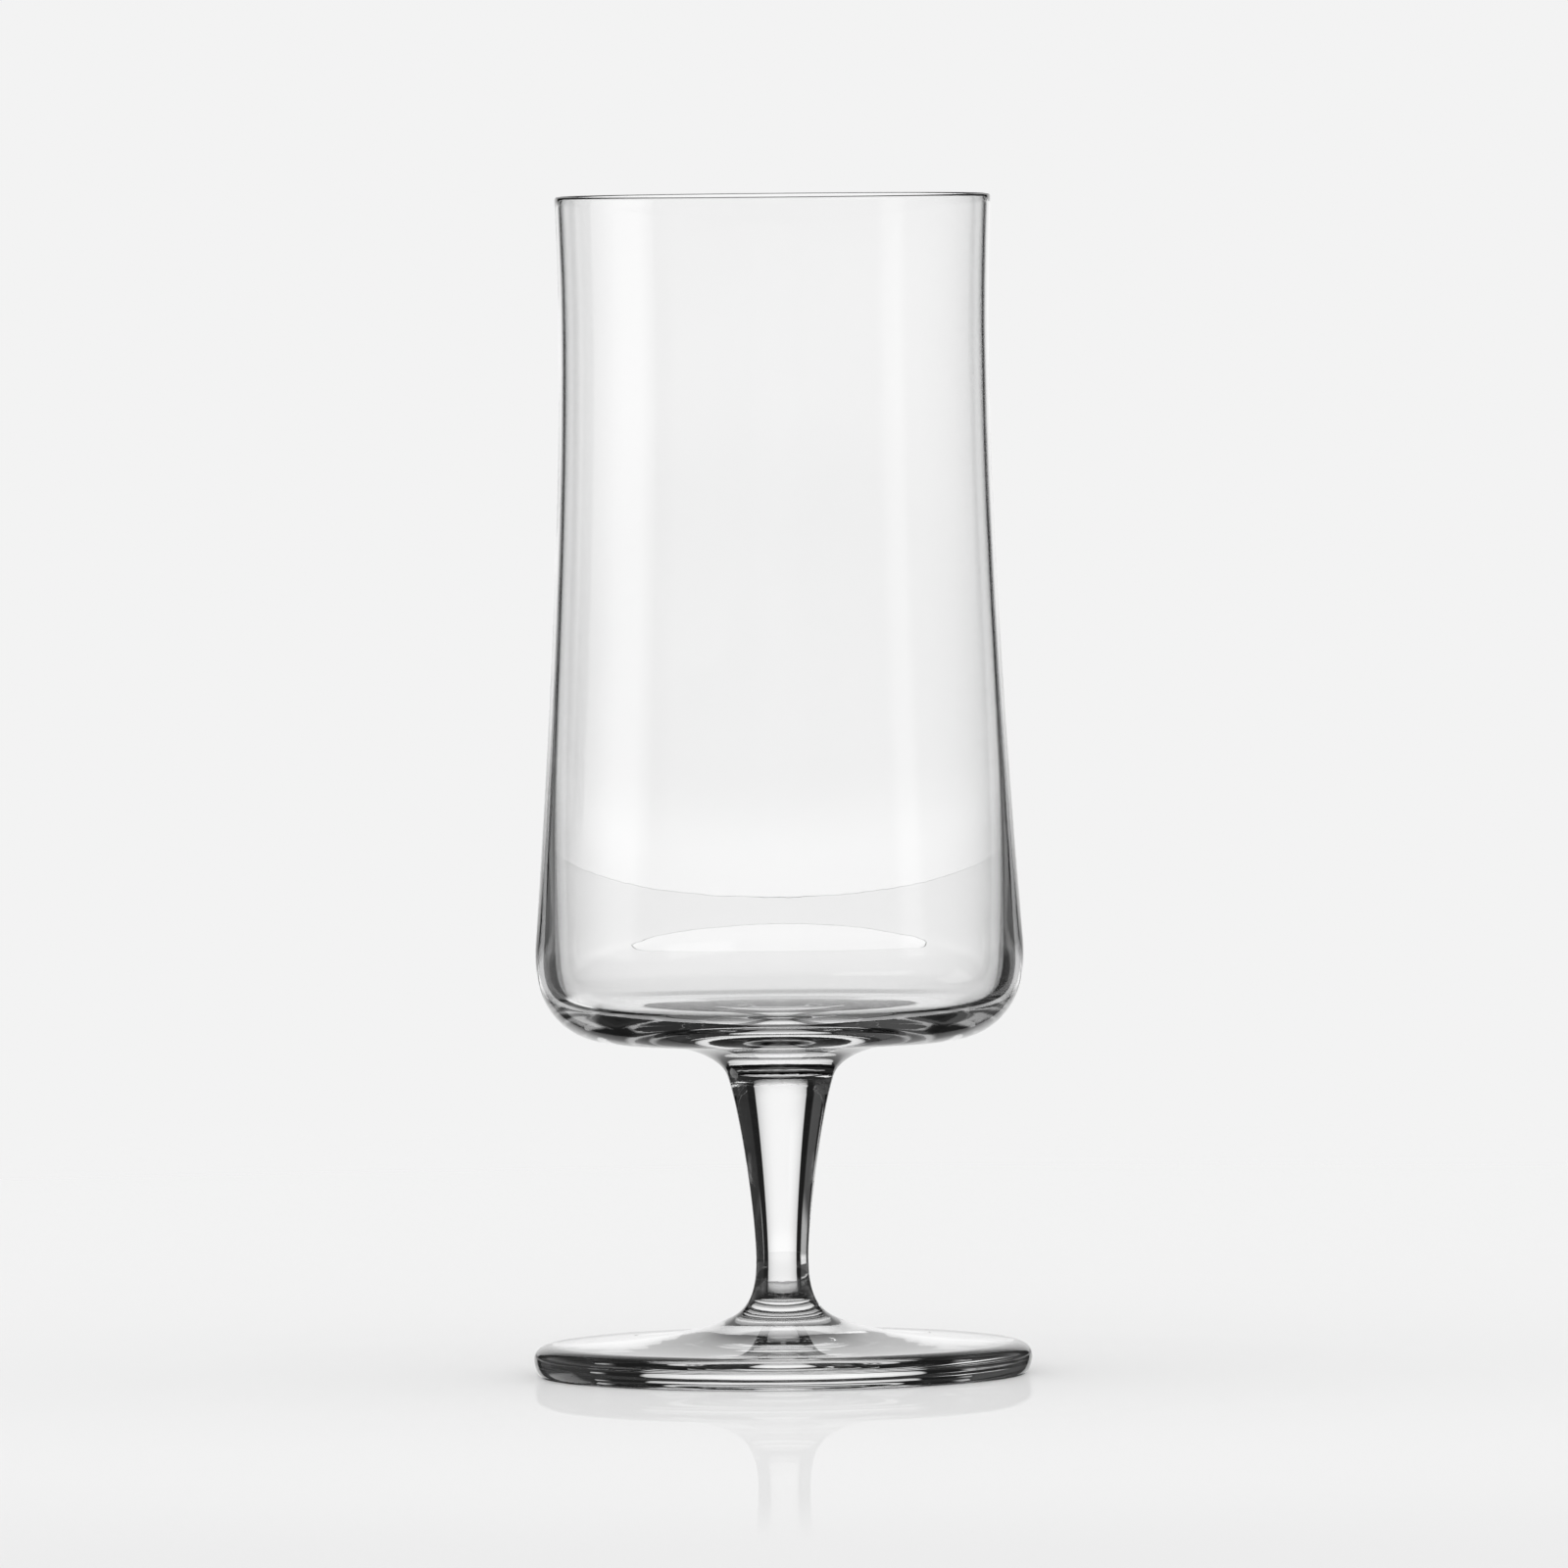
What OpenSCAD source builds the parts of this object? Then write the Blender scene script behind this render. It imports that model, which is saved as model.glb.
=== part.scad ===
// Stemmed pilsner glass, in millimetres: a tall bowl, a solid stem and a round foot.
// Each is its own gather of clear glass, and they meet at two flat fused joints on the axis.
// The origin is at the middle of the table face, and +Z runs up the axis.

/* [Whole glass] */
// Height from the table to the top of the rim
height = 182; // [160:1:230]

/* [Rim and waist] */
// Width across the rim
rim_d = 67.2; // [60:0.1:80]
// Wall thickness at the rim, which ends in a full round
rim_wall = 0.9; // [0.7:0.1:2]
// Width across the waist, the slight narrowing below the rim
waist_d = 66.2; // [58:0.1:78]
// Drop from the rim to the waist
waist_drop = 21.2; // [12:0.1:40]
// Wall thickness at the waist
waist_wall = 0.95; // [0.7:0.05:2]

/* [Shoulder and base of the bowl] */
// Width across the shoulder, where the wall starts to turn in
shoulder_d = 75.2; // [68:0.1:90]
// Height of the shoulder above the bowl's underside
shoulder_h = 15.5; // [12:0.1:24]
// Wall thickness at the shoulder
shoulder_wall = 2.8; // [1.5:0.1:5]
// Width of the rounded corner outside, from the shoulder in to the flat underside
corner_w = 12.3; // [8:0.1:18]
// Width of the rounded corner inside, from the wall in to the edge of the floor
floor_corner_w = 11; // [4:0.1:14]
// Thickness of the bowl's solid base at the edge of the floor
base_t = 4.4; // [3:0.1:9]
// Rise of the floor from its edge to its middle
floor_rise = 0.4; // [0:0.1:1.5]
// Height of the neck that is drawn down from the underside to the stem
neck_h = 5.5; // [4:0.1:9]

/* [Stem] */
// Length of the stem between its two fused joints
stem_h = 32.2; // [24:0.1:60]
// Width of the joint between the stem and the bowl
bowl_joint_d = 16.3; // [12:0.1:20]
// Width of the stem at its narrowest
thin_d = 8.1; // [6.5:0.1:8.8]
// Height of the narrowest place above the foot's joint
thin_h = 4; // [2:0.1:8]
// Width of the joint between the stem and the foot
foot_joint_d = 8.8; // [8.1:0.1:12]

/* [Foot] */
// Width across the foot
foot_d = 77; // [68:0.5:90]
// Thickness of the foot's plate
plate_t = 4.9; // [3:0.1:6]
// Rise of the hub above the plate
hub_h = 3.8; // [3:0.1:6]
// Width of the hub, where the drawn-up glass meets the plate
hub_d = 16.6; // [14:0.1:22]
// Height of the neck that is drawn up from the hub to the stem
foot_neck_h = 5.1; // [3:0.1:8]
// Height of the foot's widest line above the table
edge_z = 2.7; // [1:0.1:3.5]
// Width of the plate's rounded edge on top
edge_top_w = 3.2; // [1:0.1:4]
// Width of the plate's rounded edge underneath
edge_under_w = 1.2; // [0.5:0.1:3]
// Width of the flat ring that the glass stands on
land_w = 7.3; // [2:0.1:14]
// Depth of the hollow under the foot, at the axis
hollow_depth = 1; // [0.3:0.1:2]

/* [Hidden] */
$fn = 120;
glass_colour = "aliceblue";

// Steps along each kind of curve
short_steps = 8;
long_steps = 24;

// Slopes of the outline where two curves meet, as run for each unit of rise
shoulder_slope_share = 0.077;
bowl_joint_slope_share = 0.306;
foot_joint_slope_share = 0.218;
// Slope of the hub where it runs into the plate, as rise for each unit of run
hub_slope_share = 0.474;

// How far each curve keeps its direction at its two ends, as shares of its rise or run
rim_pull_shares = [0.3, 0.3];
outer_wall_pull_shares = [0.276, 0.342];
outer_corner_pull_shares = [0.691, 0.58];
neck_pull_shares = [0.67, 0.525];
floor_pull_shares = [0.5, 0.5];
inner_corner_pull_shares = [0.753, 0.86];
inner_wall_pull_shares = [0.32, 0.38];
taper_pull_shares = [0.25, 0.213];
flare_pull_shares = [0.4, 0.27];
foot_neck_pull_shares = [0.55, 0.5];
plate_pull_shares = [0.27, 0.09];
edge_pull_shares = [0.3, 0.84];
under_edge_pull_shares = [0.4, 0.56];
hollow_pull_shares = [0.3, 0.45];

// Heights above the table
hub_z = plate_t + hub_h;
foot_joint_z = hub_z + foot_neck_h;
thin_z = foot_joint_z + thin_h;
bowl_joint_z = foot_joint_z + stem_h;
underside_z = bowl_joint_z + neck_h;
floor_z = underside_z + base_t;
shoulder_z = underside_z + shoulder_h;
waist_z = height - waist_drop;
lip_r = rim_wall / 2;
lip_z = height - lip_r;

// Distances from the axis
rim_r = rim_d / 2;
rim_inner_r = rim_r - rim_wall;
waist_r = waist_d / 2;
waist_inner_r = waist_r - waist_wall;
shoulder_r = shoulder_d / 2;
shoulder_inner_r = shoulder_r - shoulder_wall;
base_r = shoulder_r - corner_w;
floor_r = shoulder_inner_r - floor_corner_w;
bowl_joint_r = bowl_joint_d / 2;
thin_r = thin_d / 2;
foot_joint_r = foot_joint_d / 2;
hub_r = hub_d / 2;
foot_r = foot_d / 2;
plate_r = foot_r - edge_top_w;
land_r = foot_r - edge_under_w;
land_inner_r = land_r - land_w;

// Point at share t of a smooth curve that leaves a towards b and reaches d from c
function curve_point(a, b, c, d, t) =
    pow(1 - t, 3) * a + 3 * pow(1 - t, 2) * t * b + 3 * (1 - t) * t * t * c + pow(t, 3) * d;

// Points of such a curve, with both of its ends
function curve(a, b, c, d, steps) = [for (i = [0:steps]) curve_point(a, b, c, d, i / steps)];

// The same without d, which the next curve starts with
function open_curve(a, b, c, d, steps) = [for (i = [0:steps - 1]) curve_point(a, b, c, d, i / steps)];

// Inside of the bowl, from the middle of its slightly domed floor up to the lip
floor_corner_h = shoulder_z - floor_z;
wall_h = waist_z - shoulder_z;
rim_h = lip_z - waist_z;
bowl_inside = concat(
    open_curve([0, floor_z + floor_rise],
               [floor_pull_shares[0] * floor_r, floor_z + floor_rise],
               [floor_r - floor_pull_shares[1] * floor_r, floor_z],
               [floor_r, floor_z], short_steps),
    open_curve([floor_r, floor_z],
               [floor_r + inner_corner_pull_shares[0] * floor_corner_w, floor_z],
               [shoulder_inner_r, shoulder_z - inner_corner_pull_shares[1] * floor_corner_h],
               [shoulder_inner_r, shoulder_z], long_steps),
    open_curve([shoulder_inner_r, shoulder_z],
               [shoulder_inner_r, shoulder_z + inner_wall_pull_shares[0] * wall_h],
               [waist_inner_r, waist_z - inner_wall_pull_shares[1] * wall_h],
               [waist_inner_r, waist_z], long_steps),
    open_curve([waist_inner_r, waist_z],
               [waist_inner_r, waist_z + rim_pull_shares[1] * rim_h],
               [(rim_inner_r + waist_inner_r) / 2, lip_z - rim_pull_shares[0] * rim_h],
               [rim_inner_r, lip_z], short_steps)
);

// Full round on the lip, from the inside over the top to the outside
bowl_lip = [
    for (i = [0:2 * short_steps - 1]) let (turn = 180 - 90 * i / short_steps)
        [rim_r - lip_r + lip_r * cos(turn), lip_z + lip_r * sin(turn)]
];

// Outside of the bowl, from the lip down to the stem's joint
outer_wall_pull = outer_wall_pull_shares[1] * wall_h;
outer_corner_pull = outer_corner_pull_shares[0] * shoulder_h;
neck_w = base_r - bowl_joint_r;
neck_pull = neck_pull_shares[1] * neck_h;
bowl_outside = concat(
    open_curve([rim_r, lip_z],
               [(rim_r + waist_r) / 2, lip_z - rim_pull_shares[0] * rim_h],
               [waist_r, waist_z + rim_pull_shares[1] * rim_h],
               [waist_r, waist_z], short_steps),
    open_curve([waist_r, waist_z],
               [waist_r, waist_z - outer_wall_pull_shares[0] * wall_h],
               [shoulder_r - shoulder_slope_share * outer_wall_pull, shoulder_z + outer_wall_pull],
               [shoulder_r, shoulder_z], long_steps),
    open_curve([shoulder_r, shoulder_z],
               [shoulder_r + shoulder_slope_share * outer_corner_pull, shoulder_z - outer_corner_pull],
               [base_r + outer_corner_pull_shares[1] * corner_w, underside_z],
               [base_r, underside_z], long_steps),
    curve([base_r, underside_z],
          [base_r - neck_pull_shares[0] * neck_w, underside_z],
          [bowl_joint_r + bowl_joint_slope_share * neck_pull, bowl_joint_z + neck_pull],
          [bowl_joint_r, bowl_joint_z], long_steps)
);

// Outside of the stem, from the bowl's joint down to the foot's joint
taper_h = stem_h - thin_h;
taper_pull = taper_pull_shares[0] * taper_h;
flare_pull = flare_pull_shares[1] * thin_h;
stem_outside = concat(
    open_curve([bowl_joint_r, bowl_joint_z],
               [bowl_joint_r - bowl_joint_slope_share * taper_pull, bowl_joint_z - taper_pull],
               [thin_r, thin_z + taper_pull_shares[1] * taper_h],
               [thin_r, thin_z], long_steps),
    curve([thin_r, thin_z],
          [thin_r, thin_z - flare_pull_shares[0] * thin_h],
          [foot_joint_r - foot_joint_slope_share * flare_pull, foot_joint_z + flare_pull],
          [foot_joint_r, foot_joint_z], short_steps)
);

// Outside of the foot, from the stem's joint over the plate's edge to the ring that it stands on
foot_neck_pull = foot_neck_pull_shares[0] * foot_neck_h;
hub_pull = foot_neck_pull_shares[1] * (hub_r - foot_joint_r);
plate_w = plate_r - hub_r;
plate_pull = plate_pull_shares[0] * plate_w;
foot_outside = concat(
    open_curve([foot_joint_r, foot_joint_z],
               [foot_joint_r + foot_joint_slope_share * foot_neck_pull, foot_joint_z - foot_neck_pull],
               [hub_r - hub_pull, hub_z + hub_slope_share * hub_pull],
               [hub_r, hub_z], long_steps),
    open_curve([hub_r, hub_z],
               [hub_r + plate_pull, hub_z - hub_slope_share * plate_pull],
               [plate_r - plate_pull_shares[1] * plate_w, plate_t],
               [plate_r, plate_t], long_steps),
    open_curve([plate_r, plate_t],
               [plate_r + edge_pull_shares[0] * edge_top_w, plate_t],
               [foot_r, edge_z + edge_pull_shares[1] * (plate_t - edge_z)],
               [foot_r, edge_z], short_steps),
    curve([foot_r, edge_z],
          [foot_r, edge_z - under_edge_pull_shares[0] * edge_z],
          [land_r + under_edge_pull_shares[1] * edge_under_w, 0],
          [land_r, 0], short_steps)
);

// Shallow hollow under the foot, from the ring in to the axis
foot_hollow = curve([land_inner_r, 0],
                    [land_inner_r - hollow_pull_shares[0] * land_inner_r, 0],
                    [hollow_pull_shares[1] * land_inner_r, hollow_depth],
                    [0, hollow_depth], long_steps);

// Bowl, with its solid base and the neck that runs down to the stem
module bowl() {
    color(glass_colour)
        rotate_extrude()
            polygon(concat([[0, bowl_joint_z]], bowl_inside, bowl_lip, bowl_outside));
}

// Solid stem between the two fused joints
module stem() {
    color(glass_colour)
        rotate_extrude()
            polygon(concat([[0, foot_joint_z], [0, bowl_joint_z]], stem_outside));
}

// Foot, with its hub, its plate and the hollow that leaves a ring to stand on
module foot() {
    color(glass_colour)
        rotate_extrude()
            polygon(concat([[0, foot_joint_z]], foot_outside, foot_hollow));
}

bowl();
stem();
foot();
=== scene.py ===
"""A stemmed pilsner glass in clear glass: the bowl, the stem and the foot, turned from their outlines."""

import math

import bpy
from mathutils import Matrix, Vector


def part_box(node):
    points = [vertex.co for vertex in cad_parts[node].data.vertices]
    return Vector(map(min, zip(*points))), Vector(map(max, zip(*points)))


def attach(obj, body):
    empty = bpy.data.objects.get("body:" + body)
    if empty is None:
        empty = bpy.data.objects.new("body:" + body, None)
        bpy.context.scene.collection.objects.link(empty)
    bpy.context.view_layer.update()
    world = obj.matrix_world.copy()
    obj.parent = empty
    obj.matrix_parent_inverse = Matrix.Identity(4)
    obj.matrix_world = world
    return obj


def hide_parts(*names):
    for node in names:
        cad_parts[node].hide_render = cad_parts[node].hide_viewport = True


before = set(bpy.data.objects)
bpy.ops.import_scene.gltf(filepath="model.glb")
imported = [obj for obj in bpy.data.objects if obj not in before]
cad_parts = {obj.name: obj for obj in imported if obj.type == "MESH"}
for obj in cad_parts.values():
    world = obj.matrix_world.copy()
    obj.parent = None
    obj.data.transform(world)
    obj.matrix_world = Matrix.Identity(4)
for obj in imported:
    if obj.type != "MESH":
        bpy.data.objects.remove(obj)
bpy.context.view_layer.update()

MM = 0.001

# Faces round the glass, and steps along each kind of curve
SEGMENTS = 288
CURVE_STEPS = 32
CORNER_STEPS = 64
SHORT_STEPS = 16
FLARE_STEPS = 12

# Distances in metres below which a point counts as on the axis, or as at the height of a joint
ON_AXIS = 1e-9
AT_JOINT = 1e-7

# Slopes of the outline where two curves meet, as run for each unit of rise
SHOULDER_SLOPE = 0.077
BOWL_JOINT_SLOPE = 0.306
FOOT_JOINT_SLOPE = 0.218
# Slope of the hub where it runs into the plate, as rise for each unit of run
HUB_SLOPE = 0.474

# How far each curve keeps its direction at its start and its end, as shares of its rise or run
FLOOR_PULLS = (0.5, 0.5)
INNER_CORNER_PULLS = (0.753, 0.86)
INNER_WALL_PULLS = (0.32, 0.38)
RIM_PULLS = (0.3, 0.3)
OUTER_WALL_PULLS = (0.276, 0.342)
OUTER_CORNER_PULLS = (0.691, 0.58)
NECK_PULLS = (0.67, 0.525)
TAPER_PULLS = (0.25, 0.213)
FLARE_PULLS = (0.4, 0.27)
FOOT_NECK_PULLS = (0.55, 0.5)
PLATE_PULLS = (0.27, 0.09)
EDGE_PULLS = (0.3, 0.84)
UNDER_EDGE_PULLS = (0.4, 0.56)
HOLLOW_PULLS = (0.3, 0.45)


# Sizes of the glass

class Glass:
    """Heights above the table and distances from the axis, in metres."""

    def __init__(self):
        bowl_low, bowl_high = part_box("bowl")
        stem_low, stem_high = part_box("stem")
        foot_low, foot_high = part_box("foot")

        self.height = bowl_high.z
        self.rim_r = 33.6 * MM
        self.rim_wall = 0.9 * MM
        self.waist_z = self.height - 21.2 * MM
        self.waist_r = 33.1 * MM
        self.waist_wall = 0.95 * MM

        self.bowl_joint_z = bowl_low.z
        self.bowl_joint_r = stem_high.x
        self.underside_z = self.bowl_joint_z + 5.5 * MM
        self.floor_z = self.underside_z + 4.4 * MM
        self.floor_rise = 0.4 * MM
        self.shoulder_z = self.underside_z + 15.5 * MM
        self.shoulder_r = 37.6 * MM
        self.shoulder_wall = 2.8 * MM
        self.corner_w = 12.3 * MM
        self.floor_corner_w = 11 * MM

        self.thin_r = 4.05 * MM
        self.foot_joint_z = stem_low.z
        self.foot_joint_r = 4.4 * MM
        self.thin_z = self.foot_joint_z + 4 * MM

        self.foot_r = foot_high.x
        self.plate_t = 4.9 * MM
        self.hub_z = self.plate_t + 3.8 * MM
        self.hub_r = 8.3 * MM
        self.edge_z = 2.7 * MM
        self.edge_top_w = 3.2 * MM
        self.edge_under_w = 1.2 * MM
        self.land_w = 7.3 * MM
        self.hollow_depth = 1 * MM


def curve(a, b, c, d, steps=CURVE_STEPS):
    """Points of a smooth curve that leaves a towards b and reaches d from c, without a itself."""
    a, b, c, d = (Vector(p) for p in (a, b, c, d))
    points = []
    for i in range(1, steps + 1):
        t = i / steps
        s = 1 - t
        points.append(s ** 3 * a + 3 * s * s * t * b + 3 * s * t * t * c + t ** 3 * d)
    return points


def bowl_inside(g):
    """From the middle of the floor up the wall to the lip."""
    shoulder_in = g.shoulder_r - g.shoulder_wall
    waist_in = g.waist_r - g.waist_wall
    rim_in = g.rim_r - g.rim_wall
    floor_r = shoulder_in - g.floor_corner_w
    middle_z = g.floor_z + g.floor_rise
    lip_z = g.height - g.rim_wall / 2
    wall_h = g.waist_z - g.shoulder_z
    rim_h = lip_z - g.waist_z
    floor_corner_h = g.shoulder_z - g.floor_z

    points = [Vector((0, middle_z))]
    points += curve((0, middle_z),
                    (FLOOR_PULLS[0] * floor_r, middle_z),
                    (floor_r - FLOOR_PULLS[1] * floor_r, g.floor_z),
                    (floor_r, g.floor_z))
    points += curve((floor_r, g.floor_z),
                    (floor_r + INNER_CORNER_PULLS[0] * g.floor_corner_w, g.floor_z),
                    (shoulder_in, g.shoulder_z - INNER_CORNER_PULLS[1] * floor_corner_h),
                    (shoulder_in, g.shoulder_z), CORNER_STEPS)
    points += curve((shoulder_in, g.shoulder_z),
                    (shoulder_in, g.shoulder_z + INNER_WALL_PULLS[0] * wall_h),
                    (waist_in, g.waist_z - INNER_WALL_PULLS[1] * wall_h),
                    (waist_in, g.waist_z))
    points += curve((waist_in, g.waist_z),
                    (waist_in, g.waist_z + RIM_PULLS[1] * rim_h),
                    ((rim_in + waist_in) / 2, lip_z - RIM_PULLS[0] * rim_h),
                    (rim_in, lip_z), SHORT_STEPS)
    return points


def bowl_lip(g):
    """The full round on the lip, from the inside over the top to the outside."""
    lip_r = g.rim_wall / 2
    lip_z = g.height - lip_r
    points = []
    for i in range(1, SHORT_STEPS + 1):
        turn = math.pi * (1 - i / SHORT_STEPS)
        points.append(Vector((g.rim_r - lip_r + lip_r * math.cos(turn), lip_z + lip_r * math.sin(turn))))
    return points


def bowl_outside(g):
    """From the lip down the wall and round the base to the stem's joint."""
    lip_z = g.height - g.rim_wall / 2
    wall_h = g.waist_z - g.shoulder_z
    rim_h = lip_z - g.waist_z
    points = curve((g.rim_r, lip_z),
                   ((g.rim_r + g.waist_r) / 2, lip_z - RIM_PULLS[0] * rim_h),
                   (g.waist_r, g.waist_z + RIM_PULLS[1] * rim_h),
                   (g.waist_r, g.waist_z), SHORT_STEPS)

    wall_pull = OUTER_WALL_PULLS[1] * wall_h
    points += curve((g.waist_r, g.waist_z),
                    (g.waist_r, g.waist_z - OUTER_WALL_PULLS[0] * wall_h),
                    (g.shoulder_r - SHOULDER_SLOPE * wall_pull, g.shoulder_z + wall_pull),
                    (g.shoulder_r, g.shoulder_z))

    base_r = g.shoulder_r - g.corner_w
    corner_pull = OUTER_CORNER_PULLS[0] * (g.shoulder_z - g.underside_z)
    points += curve((g.shoulder_r, g.shoulder_z),
                    (g.shoulder_r + SHOULDER_SLOPE * corner_pull, g.shoulder_z - corner_pull),
                    (base_r + OUTER_CORNER_PULLS[1] * g.corner_w, g.underside_z),
                    (base_r, g.underside_z))

    neck_pull = NECK_PULLS[1] * (g.underside_z - g.bowl_joint_z)
    points += curve((base_r, g.underside_z),
                    (base_r - NECK_PULLS[0] * (base_r - g.bowl_joint_r), g.underside_z),
                    (g.bowl_joint_r + BOWL_JOINT_SLOPE * neck_pull, g.bowl_joint_z + neck_pull),
                    (g.bowl_joint_r, g.bowl_joint_z))
    return points


def bowl_outline(g):
    """From the floor's middle up the inside, over the lip and down the outside to the stem's joint."""
    return bowl_inside(g) + bowl_lip(g) + bowl_outside(g) + [Vector((0, g.bowl_joint_z))]


def stem_outline(g):
    """From the bowl's joint down to the foot's joint."""
    points = [Vector((0, g.bowl_joint_z)), Vector((g.bowl_joint_r, g.bowl_joint_z))]
    taper_h = g.bowl_joint_z - g.thin_z
    taper_pull = TAPER_PULLS[0] * taper_h
    points += curve((g.bowl_joint_r, g.bowl_joint_z),
                    (g.bowl_joint_r - BOWL_JOINT_SLOPE * taper_pull, g.bowl_joint_z - taper_pull),
                    (g.thin_r, g.thin_z + TAPER_PULLS[1] * taper_h),
                    (g.thin_r, g.thin_z))
    flare_h = g.thin_z - g.foot_joint_z
    flare_pull = FLARE_PULLS[1] * flare_h
    points += curve((g.thin_r, g.thin_z),
                    (g.thin_r, g.thin_z - FLARE_PULLS[0] * flare_h),
                    (g.foot_joint_r - FOOT_JOINT_SLOPE * flare_pull, g.foot_joint_z + flare_pull),
                    (g.foot_joint_r, g.foot_joint_z), FLARE_STEPS)
    return points + [Vector((0, g.foot_joint_z))]


def foot_outline(g):
    """From the stem's joint over the hub, the plate and its edge, and along the underside to the axis."""
    points = [Vector((0, g.foot_joint_z)), Vector((g.foot_joint_r, g.foot_joint_z))]
    neck_pull = FOOT_NECK_PULLS[0] * (g.foot_joint_z - g.hub_z)
    hub_pull = FOOT_NECK_PULLS[1] * (g.hub_r - g.foot_joint_r)
    points += curve((g.foot_joint_r, g.foot_joint_z),
                    (g.foot_joint_r + FOOT_JOINT_SLOPE * neck_pull, g.foot_joint_z - neck_pull),
                    (g.hub_r - hub_pull, g.hub_z + HUB_SLOPE * hub_pull),
                    (g.hub_r, g.hub_z))

    plate_r = g.foot_r - g.edge_top_w
    plate_w = plate_r - g.hub_r
    plate_pull = PLATE_PULLS[0] * plate_w
    points += curve((g.hub_r, g.hub_z),
                    (g.hub_r + plate_pull, g.hub_z - HUB_SLOPE * plate_pull),
                    (plate_r - PLATE_PULLS[1] * plate_w, g.plate_t),
                    (plate_r, g.plate_t))

    points += curve((plate_r, g.plate_t),
                    (plate_r + EDGE_PULLS[0] * g.edge_top_w, g.plate_t),
                    (g.foot_r, g.edge_z + EDGE_PULLS[1] * (g.plate_t - g.edge_z)),
                    (g.foot_r, g.edge_z), SHORT_STEPS)
    land_r = g.foot_r - g.edge_under_w
    points += curve((g.foot_r, g.edge_z),
                    (g.foot_r, g.edge_z - UNDER_EDGE_PULLS[0] * g.edge_z),
                    (land_r + UNDER_EDGE_PULLS[1] * g.edge_under_w, 0),
                    (land_r, 0), SHORT_STEPS)

    ring_r = land_r - g.land_w
    points.append(Vector((ring_r, 0)))
    points += curve((ring_r, 0),
                    (ring_r - HOLLOW_PULLS[0] * ring_r, 0),
                    (HOLLOW_PULLS[1] * ring_r, g.hollow_depth),
                    (0, g.hollow_depth))
    return points


def turned(name, outline, joint_heights):
    """A closed mesh turned from an outline that starts and ends on the axis.
    Flat faces at a joint's height take the second material and a sharp edge."""
    verts, rings = [], []
    for p in outline:
        if p.x < ON_AXIS:
            rings.append([len(verts)])
            verts.append((0, 0, p.y))
            continue
        rings.append(list(range(len(verts), len(verts) + SEGMENTS)))
        for k in range(SEGMENTS):
            turn = 2 * math.pi * k / SEGMENTS
            verts.append((p.x * math.cos(turn), p.x * math.sin(turn), p.y))

    faces, joints = [], []
    for i, (a, b) in enumerate(zip(rings, rings[1:])):
        start, end = outline[i].y, outline[i + 1].y
        flat = any(abs(start - z) < AT_JOINT and abs(end - z) < AT_JOINT for z in joint_heights)
        for k in range(SEGMENTS):
            n = (k + 1) % SEGMENTS
            if len(a) == 1:
                face = (a[0], b[k], b[n])
            elif len(b) == 1:
                face = (a[k], b[0], a[n])
            else:
                face = (a[k], b[k], b[n], a[n])
            faces.append(face)
            joints.append(flat)

    mesh = bpy.data.meshes.new(name)
    mesh.from_pydata(verts, [], faces)
    mesh.polygons.foreach_set("use_smooth", [True] * len(faces))
    mesh.polygons.foreach_set("material_index", [int(j) for j in joints])
    mesh.update()

    sides = {}
    for face, flat in zip(mesh.polygons, joints):
        for key in face.edge_keys:
            sides.setdefault(key, set()).add(flat)
    for edge in mesh.edges:
        edge.use_edge_sharp = len(sides[edge.key]) == 2
    piece = bpy.data.objects.new(name, mesh)
    bpy.context.scene.collection.objects.link(piece)
    return piece


# Node trees

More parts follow.
